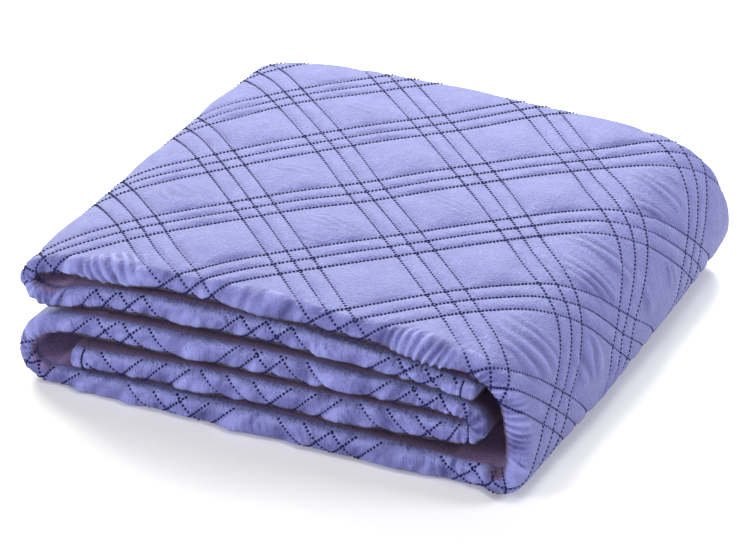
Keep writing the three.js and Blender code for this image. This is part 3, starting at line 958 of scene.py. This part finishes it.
# Cloth: brushed microfibre, sizes in mm
clothFinish = {
    "pale": (0.168, 0.187, 0.43, 1),
    "deep": (0.108, 0.114, 0.325, 1),
    "plum": (0.17, 0.12, 0.36, 1),
    # Painted light and shade: crest is a painted highlight on shoulders and crests; the next four are
    # painted shade inside the stack,
    # a painted dark under the folds, painted shade in crease troughs, and painted light inside the lips
    "crest": (0.212, 0.23, 0.52, 1),
    "paintedInsideShade": (0.215, 0.14, 0.28, 1),
    "under": (0.018, 0.009, 0.024, 1),
    "paintedCreaseShade": (0.046, 0.043, 0.175, 1),
    "lip": (0.5, 0.36, 0.6, 1),
    "blotch": 14,
    "plumBlotch": 8,
    "plumShare": 0.35,
    "grain": 1.7,
    "grainShare": 1.0,
    "grainHigh": 1.1,
    "crinkle": 4,
    "crinkleDrawn": 3,
    "crinkleHigh": (0.6, 3.4),   # on the top and on the front folds
    "rough": (0.55, 0.68),
    "dullness": 0.3,             # more roughness where the painted shade lies
    "shine": 0.3,
    "sheen": 0.08,
    "sheenRough": 0.5,
}

# Thread: twisted polyester
threadFinish = {
    "dark": (0.006, 0.006, 0.048, 1),
    "light": (0.02, 0.02, 0.105, 1),
    "twist": 0.5,
    "twistHigh": 0.15,
    "rough": (0.6, 0.8),
    "shine": 0.15,
}

# Floor: matt paper
floorFinish = {
    "dark": (0.9, 0.9, 0.9, 1),
    "light": (0.93, 0.93, 0.93, 1),
    "grain": 3,
    "rough": (0.8, 0.95),
}


def newMaterial(piece, name):
    # New material on the piece: its nodes and its shader
    material = bpy.data.materials.new(name)
    material.use_nodes = True
    piece.data.materials.append(material)
    return material.node_tree, material.node_tree.nodes["Principled BSDF"]


def noise(tree, size, detail, drawn=1):
    # Soft random pattern on the piece's own coordinates, its largest blobs of that size,
    # drawn out in y and z
    places = tree.nodes.new("ShaderNodeTexCoord")
    pattern = tree.nodes.new("ShaderNodeTexNoise")
    pattern.inputs["Scale"].default_value = 1 / (size * mm)
    pattern.inputs["Detail"].default_value = detail
    stretch = tree.nodes.new("ShaderNodeMapping")
    stretch.inputs["Scale"].default_value = (1, 1 / drawn, 1 / drawn)
    tree.links.new(places.outputs["Object"], stretch.inputs["Vector"])
    tree.links.new(stretch.outputs["Vector"], pattern.inputs["Vector"])
    return pattern.outputs["Fac"]


def spread(tree, share, low, high):
    # Stretches the range that holds most of a pattern over low to high
    first, last = 0.3, 0.7
    step = tree.nodes.new("ShaderNodeMapRange")
    for name, value in (("From Min", first), ("From Max", last), ("To Min", low), ("To Max", high)):
        step.inputs[name].default_value = value
    tree.links.new(share, step.inputs["Value"])
    return step.outputs["Result"]


def blend(tree, share, first, second):
    # Colour between first and second; each is a colour or another node's output
    mix = tree.nodes.new("ShaderNodeMix")
    mix.data_type = "RGBA"
    sockets = {socket.identifier: socket for socket in mix.inputs}
    tree.links.new(share, sockets["Factor_Float"])
    for name, colour in (("A_Color", first), ("B_Color", second)):
        if isinstance(colour, tuple):
            sockets[name].default_value = colour
        else:
            tree.links.new(colour, sockets[name])
    return next(socket for socket in mix.outputs if socket.identifier == "Result_Color")


def bump(tree, height, high, under=None):
    # Small relief in the shading alone, laid over an earlier one; its height is a number
    # or a node's output
    step = tree.nodes.new("ShaderNodeBump")
    if isinstance(high, float):
        step.inputs["Distance"].default_value = high * mm
    else:
        tree.links.new(high, step.inputs["Distance"])
    tree.links.new(height, step.inputs["Height"])
    if under:
        tree.links.new(under, step.inputs["Normal"])
    return step.outputs["Normal"]


def pointValue(tree, name):
    # The value that the mesh keeps at its points under that name
    value = tree.nodes.new("ShaderNodeAttribute")
    value.attribute_name = name
    return value.outputs["Fac"]


def between(tree, share, low, high):
    # Value running from low to high as share runs from 0 to 1
    step = tree.nodes.new("ShaderNodeMapRange")
    step.inputs["To Min"].default_value = low
    step.inputs["To Max"].default_value = high
    tree.links.new(share, step.inputs["Value"])
    return step.outputs["Result"]


def added(tree, share, amount, base):
    # The base value plus so much of the share
    step = tree.nodes.new("ShaderNodeMath")
    step.operation = "MULTIPLY_ADD"
    step.use_clamp = True
    step.inputs[1].default_value = amount
    tree.links.new(share, step.inputs[0])
    tree.links.new(base, step.inputs[2])
    return step.outputs[0]


def finishCloth(piece):
    # Pale and deep blotches, a plum tinge and grain, then the painted highlight, painted shade and
    # painted light kept at the mesh's points;
    # in the relief, crinkle under the grain
    tree, shader = newMaterial(piece, "brushedMicrofibre")
    look = clothFinish
    grain = noise(tree, look["grain"], detail=3)
    blotches = spread(tree, noise(tree, look["blotch"], detail=4), 0, 1)
    colour = blend(tree, blotches, look["pale"], look["deep"])
    reddish = spread(tree, noise(tree, look["plumBlotch"], detail=3), 0, look["plumShare"])
    colour = blend(tree, reddish, colour, look["plum"])
    colour = blend(tree, spread(tree, grain, 0, look["grainShare"]), colour, look["deep"])
    colour = blend(tree, pointValue(tree, "crest"), colour, look["crest"])
    for name in ("paintedCreaseShade", "paintedInsideShade", "lip", "under"):
        colour = blend(tree, pointValue(tree, name), colour, look[name])
    tree.links.new(colour, shader.inputs["Base Color"])
    rough = spread(tree, grain, *look["rough"])
    for name in ("paintedInsideShade", "under"):
        rough = added(tree, pointValue(tree, name), look["dullness"], rough)
    tree.links.new(rough, shader.inputs["Roughness"])
    rumpled = between(tree, pointValue(tree, "front"), *(high * mm for high in look["crinkleHigh"]))
    crinkle = noise(tree, look["crinkle"], detail=2, drawn=look["crinkleDrawn"])
    creased = bump(tree, crinkle, rumpled)
    tree.links.new(bump(tree, grain, look["grainHigh"], creased), shader.inputs["Normal"])
    shader.inputs["Specular IOR Level"].default_value = look["shine"]
    shader.inputs["Sheen Weight"].default_value = look["sheen"]
    shader.inputs["Sheen Roughness"].default_value = look["sheenRough"]


def finishThread(pieces):
    # Dark and light strands, one material for all the sewing
    tree, shader = newMaterial(pieces[0], "indigoThread")
    look = threadFinish
    strands = noise(tree, look["twist"], detail=2)
    tree.links.new(blend(tree, strands, look["dark"], look["light"]), shader.inputs["Base Color"])
    tree.links.new(spread(tree, strands, *look["rough"]), shader.inputs["Roughness"])
    tree.links.new(bump(tree, strands, look["twistHigh"]), shader.inputs["Normal"])
    shader.inputs["Specular IOR Level"].default_value = look["shine"]
    for piece in pieces[1:]:
        piece.data.materials.append(pieces[0].data.materials[0])


def finishFloor(piece):
    # Fine grain in colour and roughness
    tree, shader = newMaterial(piece, "floorPaper")
    look = floorFinish
    grain = noise(tree, look["grain"], detail=3)
    tree.links.new(blend(tree, grain, look["dark"], look["light"]), shader.inputs["Base Color"])
    tree.links.new(spread(tree, grain, *look["rough"]), shader.inputs["Roughness"])


finishCloth(cloth)
finishThread((stitches, seams))
print("stage: finishes")

# Floor and soft studio light: places in m, powers in W
studio = {
    "floorWide": 12,
    "floorDrop": 0.0002,
    "sky": 0.28,
    "aim": (0, 0, 0.05),
}
lamps = {
    "backKey": {"place": (-0.25, 1.5, 1.35), "size": 0.8, "power": 56, "colour": (0.96, 1, 0.86)},
    "backLeft": {"place": (-1.5, 0.9, 1.2), "size": 0.8, "power": 41, "colour": (0.96, 1, 0.86)},
    "frontFill": {"place": (-1.1, -1.8, 1.15), "size": 0.7, "power": 23, "colour": (0.94, 0.92, 1)},
    "lowFill": {"place": (-0.2, -2.1, 0.33), "size": 0.6, "power": 16, "colour": (0.94, 0.92, 1)},
    "overFront": {"place": (0.36, -0.36, 0.95), "size": 0.3, "power": 3.2, "colour": (1, 1, 0.88)},
    "rightFill": {"place": (1.6, 0.35, 1.15), "size": 0.6, "power": 19, "colour": (0.94, 0.94, 1)},
}


def makeFloor():
    # One square just under the stack
    half, z = studio["floorWide"] / 2, -studio["floorDrop"]
    corners = np.array([(-half, -half, z), (half, -half, z), (half, half, z), (-half, half, z)])
    floor = makeMesh("floor", corners, np.array([[0, 1, 2, 3]]), False)
    finishFloor(floor)


def makeLight():
    # Even white sky, and square lamps turned to the stack
    world = bpy.data.worlds.new("studio")
    world.use_nodes = True
    world.node_tree.nodes["Background"].inputs["Strength"].default_value = studio["sky"]
    world.node_tree.nodes["Background"].inputs["Color"].default_value = (1, 1, 1, 1)
    bpy.context.scene.world = world
    for name, values in lamps.items():
        light = bpy.data.lights.new(name, "AREA")
        light.energy, light.size, light.color = values["power"], values["size"], values["colour"]
        lamp = bpy.data.objects.new(name, light)
        lamp.location = values["place"]
        lamp.rotation_mode = "QUATERNION"
        lamp.rotation_quaternion = (Vector(studio["aim"]) - lamp.location).to_track_quat("-Z", "Y")
        bpy.context.scene.collection.objects.link(lamp)


makeFloor()
makeLight()
bpy.context.scene.view_settings.view_transform = "Standard"
print("stage: studio")
